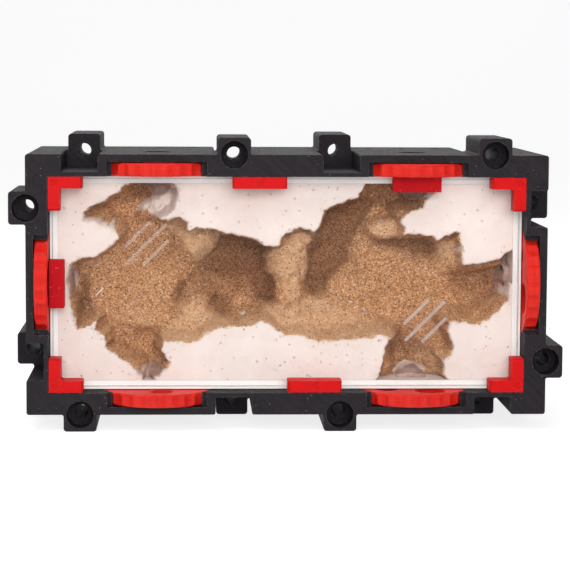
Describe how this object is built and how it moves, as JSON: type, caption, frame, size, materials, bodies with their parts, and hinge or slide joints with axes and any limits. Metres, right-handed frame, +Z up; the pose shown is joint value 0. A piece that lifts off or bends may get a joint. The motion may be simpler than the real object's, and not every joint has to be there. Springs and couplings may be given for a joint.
{
  "type": "modular ant habitat",
  "caption": "Printed ant habitat with a plaster nest behind a clear pane, turning gate wheels at its ports, lugs that join it to more units, and a water store at the back.",
  "frame": {"origin": "middle of the footprint, on the plane the lower lugs stand on", "axes": "+X to the right seen from the front, +Y from the front pane to the back cover, +Z up"},
  "size_m": [0.213, 0.0948, 0.113],
  "materials": {
    "black_print": "printed layers, dull",
    "black_cover": "printed layers, dull",
    "black_pin": "smooth, dull",
    "red_print": "printed, satin",
    "red_clip": "printed, satin",
    "red_block": "printed, rough",
    "tray_white": "printed, satin",
    "clear_sheet": "polished, clear",
    "plaster": "cast plaster, dull",
    "sand": "loose grains",
    "tank_grey": "smooth",
    "cotton": "soft",
    "stopper_rubber": "dull",
    "screw_steel": "satin"
  },
  "bodies": {
    "housing": {"front_frame": "black_print", "rear_frame": "black_print", "frame_screws": "screw_steel", "gate_axles": "black_pin", "water_tank": "tank_grey", "tank_lid": "tank_grey", "wicks": "cotton"},
    "gate_top_left": {"gate_top_left": "red_print"},
    "gate_top_right": {"gate_top_right": "red_print"},
    "gate_bottom_left": {"gate_bottom_left": "red_print"},
    "gate_bottom_right": {"gate_bottom_right": "red_print"},
    "gate_left": {"gate_left": "red_print"},
    "gate_right": {"gate_right": "red_print"},
    "nest": {"nest_tray": "tray_white", "plaster_nest": "plaster", "sand_floor": "sand"},
    "pane": {"pane": "clear_sheet"},
    "clip_corner_top_left": {"clip_corner_top_left": "red_clip"},
    "clip_corner_top_right": {"clip_corner_top_right": "red_clip"},
    "clip_corner_bottom_left": {"clip_corner_bottom_left": "red_clip"},
    "clip_corner_bottom_right": {"clip_corner_bottom_right": "red_clip"},
    "clip_edge_top": {"clip_edge_top": "red_clip"},
    "clip_edge_bottom": {"clip_edge_bottom": "red_clip"},
    "block_left": {"block_left": "red_block"},
    "block_top": {"block_top": "red_block"},
    "rear_cover": {"rear_cover": "black_cover", "cover_screws": "screw_steel"},
    "fill_stopper": {"fill_stopper": "stopper_rubber"}
  },
  "joints": [
    {"name": "turn_gate_top_left", "type": "hinge", "parent": "housing", "child": "gate_top_left", "pos_m": [-0.05, -0.0264, 0.1007], "axis": [0, 0, 1], "continuous": true},
    {"name": "turn_gate_top_right", "type": "hinge", "parent": "housing", "child": "gate_top_right", "pos_m": [0.05, -0.0264, 0.1007], "axis": [0, 0, 1], "continuous": true},
    {"name": "turn_gate_bottom_left", "type": "hinge", "parent": "housing", "child": "gate_bottom_left", "pos_m": [-0.05, -0.0264, 0.0123], "axis": [0, 0, -1], "continuous": true},
    {"name": "turn_gate_bottom_right", "type": "hinge", "parent": "housing", "child": "gate_bottom_right", "pos_m": [0.05, -0.0264, 0.0123], "axis": [0, 0, -1], "continuous": true},
    {"name": "turn_gate_left", "type": "hinge", "parent": "housing", "child": "gate_left", "pos_m": [-0.0942, -0.0264, 0.0565], "axis": [-1, 0, 0], "continuous": true},
    {"name": "turn_gate_right", "type": "hinge", "parent": "housing", "child": "gate_right", "pos_m": [0.0942, -0.0264, 0.0565], "axis": [1, 0, 0], "continuous": true},
    {"name": "pull_nest", "type": "slide", "parent": "housing", "child": "nest", "axis": [0, -1, 0], "range_m": [0, 0.045]},
    {"name": "lift_pane", "type": "slide", "parent": "nest", "child": "pane", "axis": [0, -1, 0], "range_m": [0, 0.02]},
    {"name": "pull_clip_corner_top_left", "type": "slide", "parent": "pane", "child": "clip_corner_top_left", "axis": [0, -1, 0], "range_m": [0, 0.012]},
    {"name": "pull_clip_corner_top_right", "type": "slide", "parent": "pane", "child": "clip_corner_top_right", "axis": [0, -1, 0], "range_m": [0, 0.012]},
    {"name": "pull_clip_corner_bottom_left", "type": "slide", "parent": "pane", "child": "clip_corner_bottom_left", "axis": [0, -1, 0], "range_m": [0, 0.012]},
    {"name": "pull_clip_corner_bottom_right", "type": "slide", "parent": "pane", "child": "clip_corner_bottom_right", "axis": [0, -1, 0], "range_m": [0, 0.012]},
    {"name": "pull_clip_edge_top", "type": "slide", "parent": "pane", "child": "clip_edge_top", "axis": [0, -1, 0], "range_m": [0, 0.012]},
    {"name": "pull_clip_edge_bottom", "type": "slide", "parent": "pane", "child": "clip_edge_bottom", "axis": [0, -1, 0], "range_m": [0, 0.012]},
    {"name": "pull_block_left", "type": "slide", "parent": "pane", "child": "block_left", "axis": [0, -1, 0], "range_m": [0, 0.012]},
    {"name": "pull_block_top", "type": "slide", "parent": "pane", "child": "block_top", "axis": [0, -1, 0], "range_m": [0, 0.012]},
    {"name": "pull_rear_cover", "type": "slide", "parent": "housing", "child": "rear_cover", "axis": [0, 1, 0], "range_m": [0, 0.03]},
    {"name": "pull_fill_stopper", "type": "slide", "parent": "housing", "child": "fill_stopper", "axis": [0, 1, 0], "range_m": [0, 0.02]}
  ]
}
